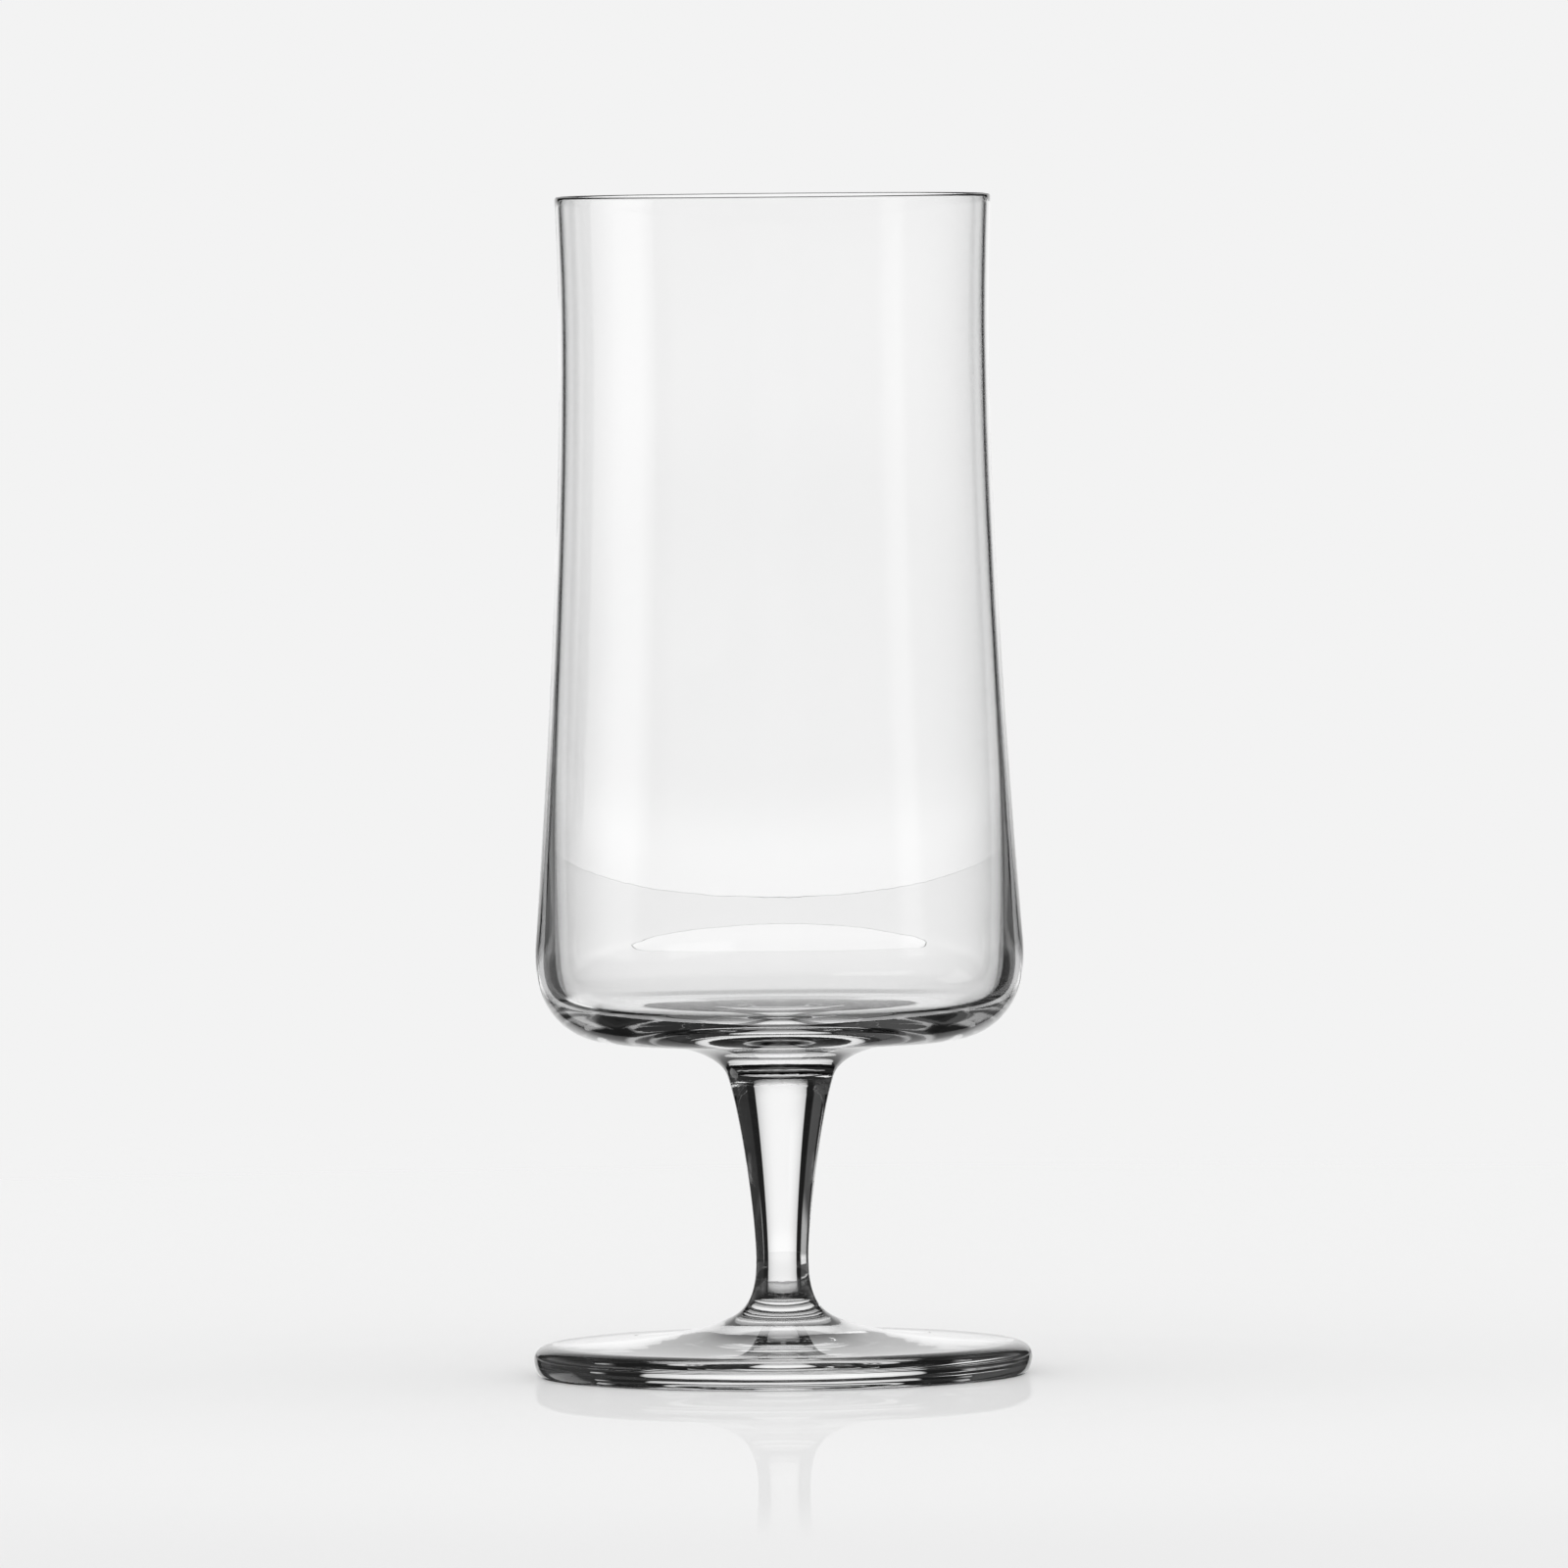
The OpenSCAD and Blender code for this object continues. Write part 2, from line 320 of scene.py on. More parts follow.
class Tree:
    """Builds the nodes of a material, of a node group or of the world."""

    def __init__(self, owner):
        if owner.rna_type.identifier != "ShaderNodeTree":
            owner.use_nodes = True
            owner = owner.node_tree
        self.nodes = owner.nodes
        self.links = owner.links
        self.nodes.clear()

    def add(self, kind, **inputs):
        """A node with some sockets set, either to a value or to another node's output."""
        node = self.nodes.new(kind)
        for name, value in inputs.items():
            self.set(node.inputs[name.replace("_", " ")], value)
        return node

    def set(self, socket, value):
        """Gives a socket a plain value, or links it to a node's output."""
        if isinstance(value, bpy.types.Node):
            value = value.outputs[0]
        if isinstance(value, bpy.types.NodeSocket):
            self.links.new(value, socket)
        else:
            socket.default_value = value

    def place(self, group, **inputs):
        """The outputs of a node group that is placed here with its own values."""
        node = self.nodes.new("ShaderNodeGroup")
        node.node_tree = group
        for name, value in inputs.items():
            self.set(node.inputs[name.replace("_", " ")], value)
        return node.outputs

    def point(self, kind="Object"):
        """The point that is shaded, or in the world the direction, as one vector."""
        return self.add("ShaderNodeTexCoord").outputs[kind]

    def axes(self, kind="Object"):
        """The same as its X, Y and Z."""
        return self.add("ShaderNodeSeparateXYZ", Vector=self.point(kind)).outputs

    def math(self, operation, *values):
        """The result of one sum on values or outputs."""
        node = self.nodes.new("ShaderNodeMath")
        node.operation = operation
        for socket, value in zip(node.inputs, values):
            self.set(socket, value)
        return node.outputs[0]

    def times(self, first, *others):
        """The product of some values."""
        for other in others:
            first = self.math("MULTIPLY", first, other)
        return first

    def degrees(self, angle):
        """An angle in degrees."""
        return self.times(angle, 180 / math.pi)

    def apart(self, value, middle):
        """How far a value is from a middle, on either side."""
        return self.math("ABSOLUTE", self.math("SUBTRACT", value, middle))

    def fade(self, value, start, end, low=0.0, high=1.0):
        """From low at start to high at end, eased at both."""
        node = self.nodes.new("ShaderNodeMapRange")
        node.interpolation_type = "SMOOTHSTEP"
        for name, setting in (("Value", value), ("From Min", start), ("From Max", end),
                              ("To Min", low), ("To Max", high)):
            self.set(node.inputs[name], setting)
        return node.outputs["Result"]

    def within(self, value, limit, edge):
        """1 below a limit and 0 above it, eased over an edge on either side of it."""
        return self.fade(value, limit - edge, limit + edge, 1.0, 0.0)

    def blend(self, share, low, high):
        """A value between low and high."""
        rest = self.math("SUBTRACT", 1.0, share)
        return self.math("ADD", self.times(rest, low), self.times(share, high))

    def sector(self, x, y, middles, half_w, edge=3.0):
        """1 within half_w degrees of one of some directions, told from the back to the right."""
        turn = self.degrees(self.math("ARCTAN2", x, y))
        inside = 0.0
        for middle in middles:
            inside = self.math("MAXIMUM", inside, self.within(self.apart(turn, middle), half_w, edge))
        return inside

    def light_path(self):
        """What is known about the light that meets this surface, or the world."""
        return self.add("ShaderNodeLightPath").outputs

    def past(self, path, steps):
        """1 for light that has taken more than some steps."""
        return self.math("GREATER_THAN", path["Ray Depth"], steps + 0.5)

    def up_to(self, path, steps):
        """1 for light that has taken some steps or fewer."""
        return self.math("LESS_THAN", path["Ray Depth"], steps + 0.5)

    def by_glass(self, path):
        """1 for light that glass or the table's polish has just sent on, before anything scatters it."""
        sent = self.math("MAXIMUM", path["Is Glossy Ray"], path["Is Transmission Ray"])
        return self.times(sent, self.math("LESS_THAN", path["Diffuse Depth"], 0.5))

    def straight(self, path, extra=0):
        """1 for light that came straight through one wall or two, which takes two steps or four."""
        off = self.apart(path["Ray Depth"], 3.0 + extra)
        even = self.times(self.math("GREATER_THAN", off, 0.5), self.math("LESS_THAN", off, 1.5))
        return self.times(even, path["Is Transmission Ray"])

    def choose(self, share, first, second):
        """The first shader where share is 0, and the second where it is 1."""
        node = self.nodes.new("ShaderNodeMixShader")
        self.set(node.inputs[0], share)
        self.links.new(first.outputs[0], node.inputs[1])
        self.links.new(second.outputs[0], node.inputs[2])
        return node

    def finish(self, shader):
        """Gives the material its shader."""
        self.add("ShaderNodeOutputMaterial", Surface=shader.outputs[0])


# Effects of the glass

def new_group(name, inputs, outputs):
    """A node group whose inputs are given with their usual values. Returns it, its tree and both ends."""
    group = bpy.data.node_groups.new(name, "ShaderNodeTree")
    tree = Tree(group)
    for socket, value in inputs.items():
        made = group.interface.new_socket(socket, in_out="INPUT", socket_type="NodeSocketFloat")
        made.default_value = value
    for socket in outputs:
        group.interface.new_socket(socket, in_out="OUTPUT", socket_type="NodeSocketFloat")
    given = tree.nodes.new("NodeGroupInput").outputs
    out = tree.nodes.new("NodeGroupOutput").inputs
    return group, tree, given, out


def make_soft_ripple():
    """The slow unevenness of glass that cooled in the open air, with finer waves inside it."""
    finer = 5.0
    usual = {"Waves per Metre": 60.0, "Fine Share": 0.2}
    group, tree, given, out = new_group("soft_ripple", usual, ["Height"])
    place = tree.point()
    slow = tree.add("ShaderNodeTexNoise", Vector=place, Scale=given["Waves per Metre"], Detail=1.0)
    fine_scale = tree.times(given["Waves per Metre"], finer)
    fine = tree.add("ShaderNodeTexNoise", Vector=place, Scale=fine_scale, Detail=2.0)
    tree.set(out["Height"], tree.blend(given["Fine Share"], slow.outputs[0], fine.outputs[0]))
    return group


def make_turning_lines():
    """Fine lines that run round the glass where it was turned and drawn, each fading in and out."""
    slower = 0.1
    faint, full = 0.42, 0.62
    usual = {"Lines per Metre": 900.0, "Breaks": 3.0}
    group, tree, given, out = new_group("turning_lines", usual, ["Height", "Strength"])
    x, y, z = tree.axes()
    turn = tree.math("ARCTAN2", y, x)
    away = tree.math("SQRT", tree.math("ADD", tree.times(x, x), tree.times(y, y)))
    along = tree.times(tree.math("ADD", z, away), given["Lines per Metre"])
    round_x = tree.times(tree.math("COSINE", turn), given["Breaks"])
    round_y = tree.times(tree.math("SINE", turn), given["Breaks"])
    spot = tree.add("ShaderNodeCombineXYZ", X=round_x, Y=round_y, Z=along)
    lines = tree.add("ShaderNodeTexNoise", Vector=spot, Scale=1.0, Detail=2.0)
    slow_spot = tree.add("ShaderNodeCombineXYZ", X=round_x, Y=round_y, Z=tree.times(along, slower))
    strength = tree.add("ShaderNodeTexNoise", Vector=slow_spot, Scale=1.7, Detail=1.0)
    strength = tree.fade(strength.outputs[0], faint, full)
    tree.set(out["Height"], tree.times(lines.outputs[0], strength))
    tree.set(out["Strength"], strength)
    return group


def make_seam_mask():
    """1 at a height above the table, fading out above and below it."""
    usual = {"Seam Height": 0.046, "Half Width": 0.0015}
    group, tree, given, out = new_group("seam_mask", usual, ["Mask"])
    off = tree.apart(tree.axes()["Z"], given["Seam Height"])
    tree.set(out["Mask"], tree.fade(tree.math("DIVIDE", off, given["Half Width"]), 0.0, 1.0, 1.0, 0.0))
    return group


# Materials

class Look:
    """What the three glass materials share, and how strong each effect is."""

    refraction = 1.52

    # brightness that is left where the glass is seen edge on: painted shade, with a little of the glass's
    # own cool tint
    edge_red = 0.955
    edge_green = 0.965
    edge_blue = 0.975
    edge_blend = 0.35
    edge_power = 3.0

    # faint cloudy streaks: the darkest, and the range above it
    streak_low = 0.985
    streak_range = 0.02

    # how deep the unevenness is on each piece, in metres
    bowl_depth = 0.02 * MM
    stem_depth = 0.015 * MM
    foot_depth = 0.02 * MM

    # shares of the finer effects in that depth
    seam_lines = 1.2
    base_ripple = 0.12
    edge_lines = 0.5

    # the rubbed ring under the foot: how far up it reaches, and how rough it is
    rubbed_h = 0.12 * MM
    rubbed = 0.06


def glass_base(name):
    """A clear glass before its own detail. Returns the material, its tree and its shader."""
    material = bpy.data.materials.new(name)
    tree = Tree(material)
    shader = tree.add("ShaderNodeBsdfPrincipled", Roughness=0.0, IOR=Look.refraction,
                      Transmission_Weight=1.0)
    tree.finish(shader)
    return material, tree, shader


def tint_and_shade_edges(tree, shader, cloud):
    """Nearly colourless glass, faintly streaked. Where it is seen edge on it is a little cooler, from its
    own tint, and darker, which is painted shade.
    """
    # painted shade: darker, and a little cooler from the glass's own tint, where the glass is seen edge on
    facing = tree.add("ShaderNodeLayerWeight", Blend=Look.edge_blend).outputs["Facing"]
    edge = tree.math("POWER", facing, Look.edge_power)
    streak = tree.math("MULTIPLY_ADD", cloud, Look.streak_range, Look.streak_low)
    red = tree.times(streak, tree.blend(edge, 1.0, Look.edge_red))
    green = tree.times(streak, tree.blend(edge, 1.0, Look.edge_green))
    blue = tree.times(streak, tree.blend(edge, 1.0, Look.edge_blue))
    colour = tree.add("ShaderNodeCombineColor", Red=red, Green=green, Blue=blue)
    tree.set(shader.inputs["Base Color"], colour.outputs[0])


def bend_light(tree, shader, height, depth):
    """Tilts the surface by a height from 0 to 1 that stands for depth metres."""
    bump = tree.add("ShaderNodeBump", Strength=1.0, Distance=depth, Height=height)
    tree.set(shader.inputs["Normal"], bump.outputs[0])


def bowl_glass(g, soft_ripple, turning_lines, seam_mask):
    """Slow waves, turned lines above the joint and a finer ripple in the thick base."""
    material, tree, shader = glass_base("bowl_glass")
    ripple = tree.place(soft_ripple, Waves_per_Metre=45.0, Fine_Share=0.1)["Height"]
    lines = tree.place(turning_lines, Lines_per_Metre=1500.0, Breaks=2.5)
    seam = tree.place(seam_mask, Seam_Height=g.bowl_joint_z + 0.8 * MM, Half_Width=2.5 * MM)["Mask"]
    base = tree.place(seam_mask, Seam_Height=g.underside_z + 2 * MM, Half_Width=5 * MM)["Mask"]
    base_ripple = tree.place(soft_ripple, Waves_per_Metre=350.0, Fine_Share=0.4)["Height"]
    height = tree.math("ADD", ripple, tree.times(lines["Height"], seam, Look.seam_lines))
    height = tree.math("ADD", height, tree.times(base_ripple, base, Look.base_ripple))
    bend_light(tree, shader, height, Look.bowl_depth)
    tint_and_shade_edges(tree, shader, ripple)
    return material


def stem_glass(g, soft_ripple, turning_lines, seam_mask):
    """Slow waves, and turned lines at both joints."""
    material, tree, shader = glass_base("stem_glass")
    ripple = tree.place(soft_ripple, Waves_per_Metre=90.0, Fine_Share=0.1)["Height"]
    lines = tree.place(turning_lines, Lines_per_Metre=1500.0, Breaks=2.5)
    top = tree.place(seam_mask, Seam_Height=g.bowl_joint_z - 0.6 * MM, Half_Width=2 * MM)["Mask"]
    foot = tree.place(seam_mask, Seam_Height=g.foot_joint_z + 0.5 * MM, Half_Width=2 * MM)["Mask"]
    seams = tree.math("MAXIMUM", top, foot)
    height = tree.math("ADD", ripple, tree.times(lines["Height"], seams, Look.seam_lines))
    bend_light(tree, shader, height, Look.stem_depth)
    tint_and_shade_edges(tree, shader, ripple)
    return material


def foot_glass(g, soft_ripple, turning_lines, seam_mask):
    """Slow waves, turned lines on the hub and the plate's edge, and a rubbed ring to stand on."""
    material, tree, shader = glass_base("foot_glass")
    ripple = tree.place(soft_ripple, Waves_per_Metre=60.0, Fine_Share=0.15)["Height"]
    lines = tree.place(turning_lines, Lines_per_Metre=1100.0, Breaks=2.0)
    hub = tree.place(seam_mask, Seam_Height=g.hub_z + 3 * MM, Half_Width=4 * MM)["Mask"]
    edge = tree.place(seam_mask, Seam_Height=0.5 * g.plate_t, Half_Width=0.6 * g.plate_t)["Mask"]
    lined = tree.math("MAXIMUM", hub, tree.times(edge, Look.edge_lines))
    height = tree.math("ADD", ripple, tree.times(lines["Height"], lined))
    bend_light(tree, shader, height, Look.foot_depth)
    tint_and_shade_edges(tree, shader, ripple)

    ring = tree.fade(tree.axes()["Z"], 0.0, Look.rubbed_h, 1.0, 0.0)
    rubbed = tree.times(ring, lines["Strength"], Look.rubbed)
    tree.set(shader.inputs["Roughness"], rubbed)
    return material


def fused_joint():
    """The face where two gathers are fused, which bends no light."""
    material = bpy.data.materials.new("fused_joint")
    tree = Tree(material)
    tree.finish(tree.add("ShaderNodeBsdfTransparent"))
    return material


# Pieces

glass = Glass()
effects = (make_soft_ripple(), make_turning_lines(), make_seam_mask())
joint_material = fused_joint()

for node, outline, joints, material in (
    ("bowl", bowl_outline(glass), [glass.bowl_joint_z], bowl_glass(glass, *effects)),
    ("stem", stem_outline(glass), [glass.bowl_joint_z, glass.foot_joint_z], stem_glass(glass, *effects)),
    ("foot", foot_outline(glass), [glass.foot_joint_z], foot_glass(glass, *effects)),
):
    piece = turned("glass_" + node, outline, joints)
    piece.data.materials.append(material)
    piece.data.materials.append(joint_material)
    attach(piece, "root")
    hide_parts(node)


# Stage, light and camera

class Studio:
    """The set around the glass. Sizes are in metres and turns in degrees, from the back to the right.
    Where a comment says nothing else, two numbers in brackets are where a change starts and ends."""

    # level of the background, and the table's own colour
    pale = 0.896

    # the lit sheets behind the glass and at its left, between black edges
    sheet_gap = 0.66
    sheet_h = 0.80
    lit_half_w = 0.284
    lit_edge = 0.01
    side_falloff = 0.4
    falloff_power = 3.0
    black_half_w = 0.44
    black_edge = 0.03
    black = 0.01

    # heights between which the paper's light changes, with its share beyond them
    glow_z = (0.015, 0.05)
    glow = 1.07
    upper_z = (0.19, 0.32)
    upper = 0.55
    top_z = (0.32, 0.80)
    top = 0.35
    # above this the outside of the glass mirrors the paper too
    mirrored_z = (0.045, 0.055)

    # the low dark surround, in parts and steps told in degrees
    skirt_r = 0.32
    skirt_h = 0.075
    skirt_parts = ((25, 150), (150, 210), (210, 335))
    skirt_step = 5
    skirt_sides_x = (-0.16, 0.16)
    skirt_front_y = (-0.224, -0.288)
    skirt_back_y = (0.2592, 0.2688)
    skirt_near_z = (0.014, 0.02)
    skirt_top_z = (0.045, 0.075)

    # the dark room, as the glass sees it
    low_left = 0.08
    low_right = 0.03
    low_front = 0.05
    high_left = 0.45
    high_right = 0.45
    high_front = 0.3
    sky = 0.18
    ceiling = 0.02
    room_sides = (-20.0, 20.0)
    room_front = (105.0, 115.0)
    room_high = (3.0, 6.0)
    ceiling_from = (25.0, 40.0)
    sky_turns = (23.0, 25.0)

    # pale openings of the room, as the middle turn, half the width and the lowest and highest tilt
    openings = ((-45.0, 16.0, 15.0, 35.0), (135.0, 20.0, 8.0, 24.0))
    opening_turn_edge = 4
    opening_tilt_edge = 2
    opening_light = 1.1

    # ways along which straight light sees plain table and plain room, so that the glass stays clear:
    # their middle turns, half their width, and how far from the glass and how low they start
    open_turns = (-90.0, -45.0, 135.0)
    open_half_w = 11.0
    open_from = (0.155, 0.175)
    below_rise = -8.0

    # what the outside of the glass mirrors: each box fades in over two turns and out over two more
    left_box = (-112.0, -103.0, -95.0, -72.0)
    right_box = (103.0, 111.0, 116.0, 124.0)
    box_light = 1.35
    mirrored_room = 0.45
    mirrored_ceiling_from = (15.0, 30.0)
    ahead_turns = (8.0, 14.0)
    ahead_rise = (5.0, 12.0)

    # the table, lowered by a hair so that it doesn't share a plane with the standing ring
    table_r = 0.8
    table_step = 5
    table_drop = 0.05 * MM
    table_end = (0.28, 0.688)
    # painted shade: the table's colour darkens towards the front, between these two distances, to this share
    # of its colour
    table_front_y = (-0.12, -0.62)
    front_painted_shade = 0.88
    table_shine = 0.92
    # painted glow: through the glass the table also gives off this faint light of its own
    table_painted_glow = 0.02
    polish = 0.13
    far_polish = 0.09
    polish_change = (0.08, 0.11)
    polish_end = (0.24, 0.34)


class View:
    """The photo's camera. Distances are in metres and the roll is in degrees."""

    lens = 447.0
    sideways = 0.95 * MM
    distance = 3.0
    height = 0.208
    aim_height = 0.09115
    roll = -0.5475


WHITE = (1, 1, 1, 1)


def flat_sheet(name, corners, material, turn=0.0):
    """A flat sheet of the set, turned by some degrees about the axis of the glass."""
    mesh = bpy.data.meshes.new(name)
    mesh.from_pydata(corners, [], [tuple(range(len(corners)))])
    sheet = bpy.data.objects.new(name, mesh)
    sheet.rotation_euler.z = math.radians(turn)
    bpy.context.scene.collection.objects.link(sheet)
    mesh.materials.append(material)
    return sheet


def open_way(tree, studio, path, x, y):
    """1 for straight light along one of the ways that stay open."""
    return tree.times(tree.sector(x, y, studio.open_turns, studio.open_half_w), tree.straight(path))


def light_sheet(name, studio, mirrored):
    """Lit paper between black edges, which only the glass can see.
    Unless it is mirrored, it is only seen straight through the glass, not by what the glass reflects."""
    material = bpy.data.materials.new(name)
    tree = Tree(material)
    path = tree.light_path()
    place = tree.axes()
    aside = tree.math("ABSOLUTE", place["X"])
    up = place["Z"]

    lit = tree.within(aside, studio.lit_half_w, studio.lit_edge)
    across = tree.math("POWER", tree.math("DIVIDE", aside, studio.lit_half_w), studio.falloff_power)
    level = tree.math("MULTIPLY_ADD", across, -studio.side_falloff, 1.0)
    level = tree.times(level,
                       tree.fade(up, *studio.glow_z, studio.glow, 1.0),
                       tree.fade(up, *studio.upper_z, 1.0, studio.upper),
                       tree.fade(up, *studio.top_z, 1.0, studio.top))
    paper = tree.add("ShaderNodeEmission", Strength=tree.blend(lit, studio.black, level))

    if mirrored:
        seen = tree.math("MAXIMUM", tree.past(path, 1), tree.fade(up, *studio.mirrored_z))
    else:
        seen = tree.times(tree.up_to(path, 4), path["Is Transmission Ray"])
    solid = tree.within(aside, studio.black_half_w, studio.black_edge)
    seen = tree.times(seen, tree.by_glass(path), solid)
    tree.finish(tree.choose(seen, tree.add("ShaderNodeBsdfTransparent"), paper))
    return material


def dark_skirt(studio):
    """A low dark surround, which only the glass can see. Behind the glass only its outside mirrors it."""
    material = bpy.data.materials.new("dark_skirt")
    tree = Tree(material)
    path = tree.light_path()
    x, y, up = tree.axes()
    level = tree.fade(x, *studio.skirt_sides_x, studio.low_left, studio.low_right)
    level = tree.blend(tree.fade(y, *studio.skirt_front_y), level, studio.low_front)
    behind = tree.fade(y, *studio.skirt_back_y)
    level = tree.blend(behind, level, studio.black)
    glow = tree.add("ShaderNodeEmission", Color=WHITE, Strength=level)

    deep = tree.past(path, 1)
    beside = tree.times(deep, tree.math("LESS_THAN", behind, 0.5))
    near = tree.times(tree.math("SUBTRACT", 1.0, deep), tree.fade(up, *studio.skirt_near_z))
    closed = tree.math("SUBTRACT", 1.0, open_way(tree, studio, path, x, y))
    seen = tree.times(tree.math("MAXIMUM", beside, near),
                      tree.fade(up, *studio.skirt_top_z, 1.0, 0.0),
                      closed,
                      tree.by_glass(path))
    tree.finish(tree.choose(seen, tree.add("ShaderNodeBsdfTransparent"), glow))
    return material


def table_top(studio):
    """Pale and darker towards the front, which is painted shade, with a faint polish. Through the glass it
    shines like a mirror, except along the open ways.
    """
    material = bpy.data.materials.new("table_top")
    tree = Tree(material)
    path = tree.light_path()
    away = tree.add("ShaderNodeVectorMath", Vector=tree.point())
    away.operation = "LENGTH"
    away = away.outputs["Value"]
    place = tree.axes()

    # painted shade: the table's colour darkens towards the front
    shade = tree.times(tree.fade(place["Y"], *studio.table_front_y, 1.0, studio.front_painted_shade), studio.pale)
    shade = tree.add("ShaderNodeCombineColor", Red=shade, Green=shade, Blue=shade)
    pale = tree.add("ShaderNodeBsdfDiffuse", Color=shade)
    mirror = tree.add("ShaderNodeBsdfGlossy", Color=WHITE, Roughness=0.0)
    polish = tree.fade(away, *studio.polish_change, studio.polish, studio.far_polish)
    polish = tree.times(polish, tree.fade(away, *studio.polish_end, 1.0, 0.0))
    plain = tree.choose(polish, pale, mirror)
    clear = tree.add("ShaderNodeBsdfTransparent")
    plain = tree.choose(tree.fade(away, *studio.table_end), plain, clear)

    # painted glow: through the glass the table gives off a faint light of its own, beside its mirror
    painted_glow = tree.add("ShaderNodeEmission", Color=WHITE, Strength=studio.table_painted_glow)
    shiny = tree.choose(studio.table_shine, painted_glow, mirror)
    open_here = open_way(tree, studio, path, place["X"], place["Y"])
    open_here = tree.times(open_here, tree.fade(away, *studio.open_from))
    closed = tree.math("SUBTRACT", 1.0, open_here)
    tree.finish(tree.choose(tree.times(closed, tree.by_glass(path)), plain, shiny))
    return material


def make_stage(studio):
    """The lit sheets, the dark surround and the table."""
    gap, high = studio.sheet_gap, studio.sheet_h
    half = studio.black_half_w + studio.black_edge
    corners = [(-half, gap, 0), (half, gap, 0), (half, gap, high), (-half, gap, high)]
    flat_sheet("light_sheet_back", corners, light_sheet("light_sheet_back", studio, True))
    flat_sheet("light_sheet_left", corners, light_sheet("light_sheet_left", studio, False), 90)

    dark_material = dark_skirt(studio)
    for start, end in studio.skirt_parts:
        turns = [math.radians(a) for a in range(start, end + 1, studio.skirt_step)]
        ends = [(studio.skirt_r * math.sin(a), studio.skirt_r * math.cos(a)) for a in turns]
        for i, (a, b) in enumerate(zip(ends, ends[1:])):
            corners = [(*a, 0), (*b, 0), (*b, studio.skirt_h), (*a, studio.skirt_h)]
            flat_sheet("dark_skirt_%d_%d" % (start, i), corners, dark_material)

    turns = [math.radians(a) for a in range(0, 360, studio.table_step)]
    rim = [(studio.table_r * math.cos(a), studio.table_r * math.sin(a), 0) for a in turns]
    table = flat_sheet("table", rim, table_top(studio))
    table.location.z = -studio.table_drop


def room_light(tree, studio, path, turn, rise):
    """What is seen through the glass: a dark room, with two pale openings on the slant."""
    aside = tree.math("ABSOLUTE", turn)
    tilt = tree.math("ABSOLUTE", rise)
    front = tree.fade(aside, *studio.room_front)
    low = tree.fade(turn, *studio.room_sides, studio.low_left, studio.low_right)
    low = tree.blend(front, low, studio.low_front)
    high = tree.fade(turn, *studio.room_sides, studio.high_left, studio.high_right)
    high = tree.blend(front, high, studio.high_front)
    room = tree.blend(tree.fade(tilt, *studio.room_high), high, low)
    room = tree.blend(tree.fade(rise, *studio.ceiling_from), room, studio.ceiling)
    room = tree.blend(tree.fade(aside, *studio.sky_turns, 1.0, 0.0), room, studio.sky)

    # only light that was just mirrored, or that is on its sixth step, sees the openings
    reflected = tree.math("SUBTRACT", 1.0, path["Is Transmission Ray"])
    late = tree.math("MAXIMUM", reflected, tree.past(path, 5))
    late = tree.times(late, tree.up_to(path, 6))
    for middle, half_w, lowest, highest in studio.openings:
        opening = tree.times(late, tree.within(tree.apart(turn, middle), half_w, studio.opening_turn_edge))
        edge = studio.opening_tilt_edge
        opening = tree.times(opening, tree.fade(tilt, lowest - edge, lowest + edge))
        opening = tree.times(opening, tree.within(tilt, highest, edge))
        room = tree.blend(opening, room, studio.opening_light)

    # the world counts one step more than a surface does
    below = tree.times(tree.math("LESS_THAN", rise, studio.below_rise), tree.straight(path, 1))
    return tree.blend(below, room, studio.pale)


def soft_box(tree, turn, start, full, fading, end):
    """A box of light that fades in from start to full, and out from fading to end."""
    return tree.times(tree.fade(turn, start, full), tree.fade(turn, fading, end, 1.0, 0.0))


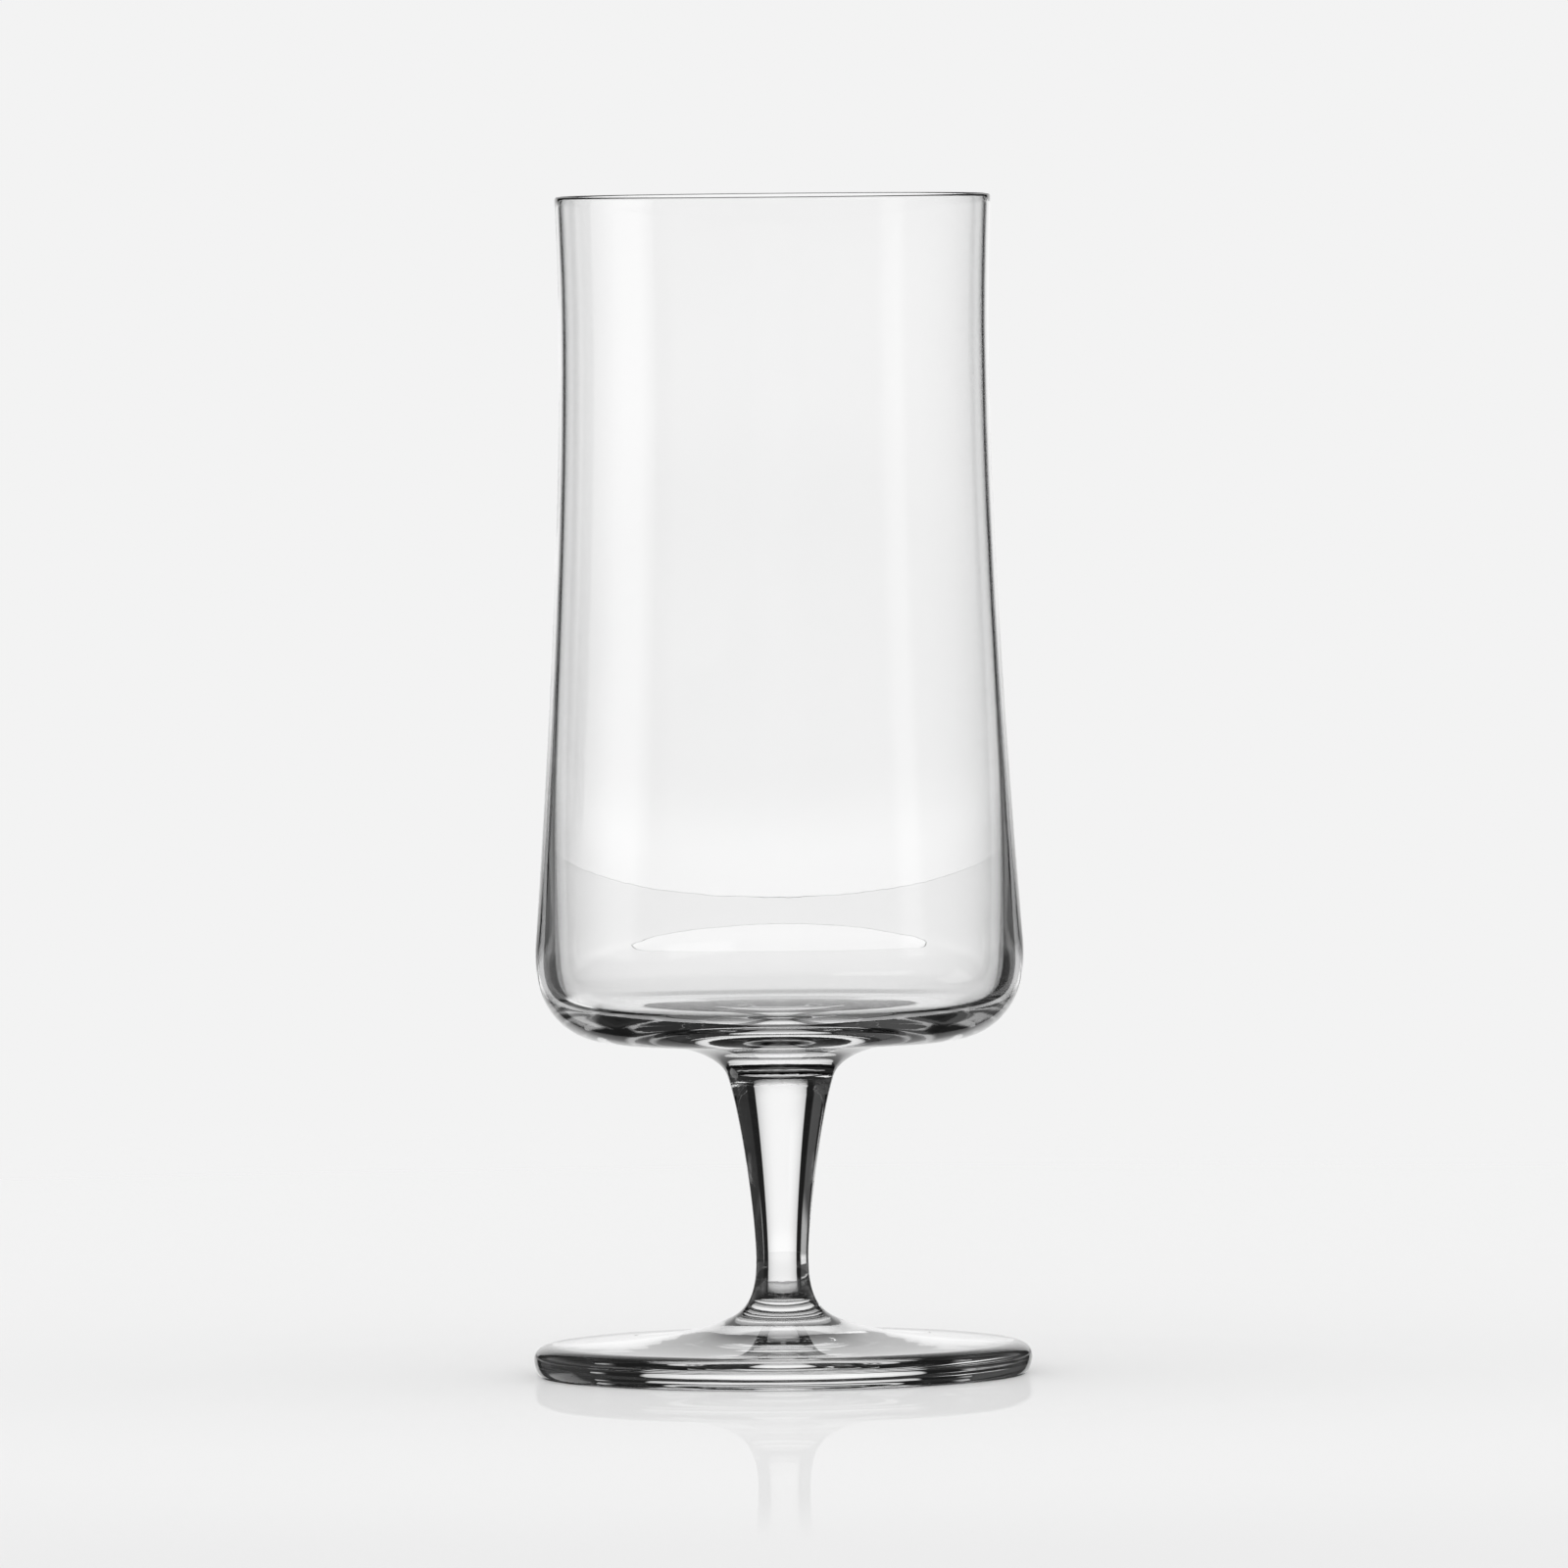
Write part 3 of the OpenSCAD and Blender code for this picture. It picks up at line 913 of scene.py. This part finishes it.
def mirrored_light(tree, studio, turn, rise):
    """What the outside of the glass mirrors: two soft boxes at its sides."""
    aside = tree.math("ABSOLUTE", turn)
    left = soft_box(tree, turn, *studio.left_box)
    right = soft_box(tree, turn, *studio.right_box)
    light = tree.blend(tree.math("MAXIMUM", left, right), studio.mirrored_room, studio.box_light)
    light = tree.blend(tree.fade(rise, *studio.mirrored_ceiling_from), light, studio.ceiling)
    ahead = tree.times(tree.fade(aside, *studio.ahead_turns, 1.0, 0.0),
                       tree.fade(rise, *studio.ahead_rise, 1.0, 0.0))
    return tree.blend(ahead, light, studio.pale)


def make_world(studio):
    """The light around the set. The camera and all that isn't glass see it plain."""
    world = bpy.data.worlds.new("studio")
    bpy.context.scene.world = world
    tree = Tree(world)
    path = tree.light_path()
    x, y, z = tree.axes("Generated")
    turn = tree.degrees(tree.math("ARCTAN2", x, y))
    rise = tree.degrees(tree.math("ARCSINE", z))

    room = room_light(tree, studio, path, turn, rise)
    mirrored = mirrored_light(tree, studio, turn, rise)
    direct = tree.times(path["Is Glossy Ray"], tree.up_to(path, 2))
    seen = tree.blend(direct, room, mirrored)
    level = tree.blend(tree.by_glass(path), 1.0, seen)
    level = tree.blend(path["Is Camera Ray"], level, studio.pale)
    background = tree.add("ShaderNodeBackground", Color=WHITE, Strength=level)
    tree.add("ShaderNodeOutputWorld", Surface=background.outputs[0])


def make_camera(view):
    """The photo's camera, aimed at a height on the glass and rolled a little."""
    data = bpy.data.cameras.new("camera")
    data.sensor_width = 36
    data.lens = view.lens
    data.clip_start = 0.1
    data.clip_end = 20
    camera = bpy.data.objects.new("camera", data)
    bpy.context.scene.collection.objects.link(camera)
    camera.location = (view.sideways, -view.distance, view.height)
    target = Vector((view.sideways, 0, view.aim_height))
    look = (target - camera.location).to_track_quat("-Z", "Y").to_matrix()
    camera.rotation_euler = (look @ Matrix.Rotation(math.radians(view.roll), 3, "Z")).to_euler()
    bpy.context.scene.camera = camera


make_stage(Studio)
make_world(Studio)
make_camera(View)
scene = bpy.context.scene
scene.view_settings.view_transform = "Standard"
scene.cycles.max_bounces = 32
scene.cycles.transmission_bounces = 32
scene.cycles.glossy_bounces = 16
scene.cycles.transparent_max_bounces = 32
